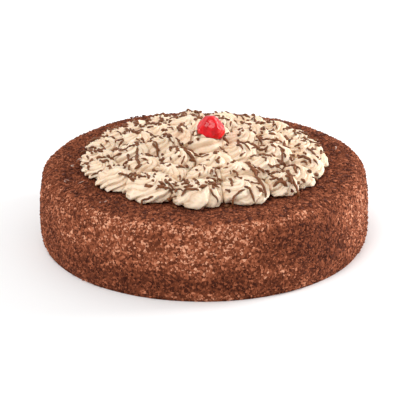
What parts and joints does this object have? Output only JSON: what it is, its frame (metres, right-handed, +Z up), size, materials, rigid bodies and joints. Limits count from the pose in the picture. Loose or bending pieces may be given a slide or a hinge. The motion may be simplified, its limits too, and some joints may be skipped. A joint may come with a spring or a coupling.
{
  "type": "round chocolate cream cake",
  "caption": "Round uncut cake in a chocolate crumb coat, its top covered with piped mocha cream stars, fine chocolate drizzle and a cherry on a rosette.",
  "frame": {"origin": "centre of the flat base, on the surface that the cake stands on", "axes": "+Z up, -Y towards the front, +X to the right as seen from the front"},
  "size_m": [0.2614, 0.2614, 0.1012],
  "materials": {
    "crumb_coat": "dry, granular chocolate sponge crumb pressed into cream",
    "mocha_cream": "soft satin whipped cream",
    "cherry": "glossy, slightly clear candied fruit",
    "chocolate": "satin set chocolate of the drizzle and flakes"
  },
  "bodies": {
    "root": {"cake_body": "crumb_coat", "cherry": "cherry", "cream_rosette": "mocha_cream", "cream_star_01": "mocha_cream", "cream_star_02": "mocha_cream", "cream_star_03": "mocha_cream", "cream_star_04": "mocha_cream", "cream_star_05": "mocha_cream", "cream_star_06": "mocha_cream", "cream_star_07": "mocha_cream", "cream_star_08": "mocha_cream", "cream_star_09": "mocha_cream", "cream_star_10": "mocha_cream", "cream_star_11": "mocha_cream", "cream_star_12": "mocha_cream", "cream_star_13": "mocha_cream", "cream_star_14": "mocha_cream", "cream_star_15": "mocha_cream", "cream_star_16": "mocha_cream", "cream_star_17": "mocha_cream", "cream_star_18": "mocha_cream", "cream_star_19": "mocha_cream", "cream_star_20": "mocha_cream", "cream_star_21": "mocha_cream", "cream_star_22": "mocha_cream", "cream_star_23": "mocha_cream", "cream_star_24": "mocha_cream", "cream_star_25": "mocha_cream", "cream_star_26": "mocha_cream", "cream_star_27": "mocha_cream", "cream_star_28": "mocha_cream", "cream_star_29": "mocha_cream", "cream_star_30": "mocha_cream", "cream_star_31": "mocha_cream", "cream_star_32": "mocha_cream", "cream_star_33": "mocha_cream", "cream_star_34": "mocha_cream", "cream_star_35": "mocha_cream", "cream_star_36": "mocha_cream", "cream_star_37": "mocha_cream", "cream_star_38": "mocha_cream", "cream_star_39": "mocha_cream", "cream_star_40": "mocha_cream"}
  },
  "joints": []
}
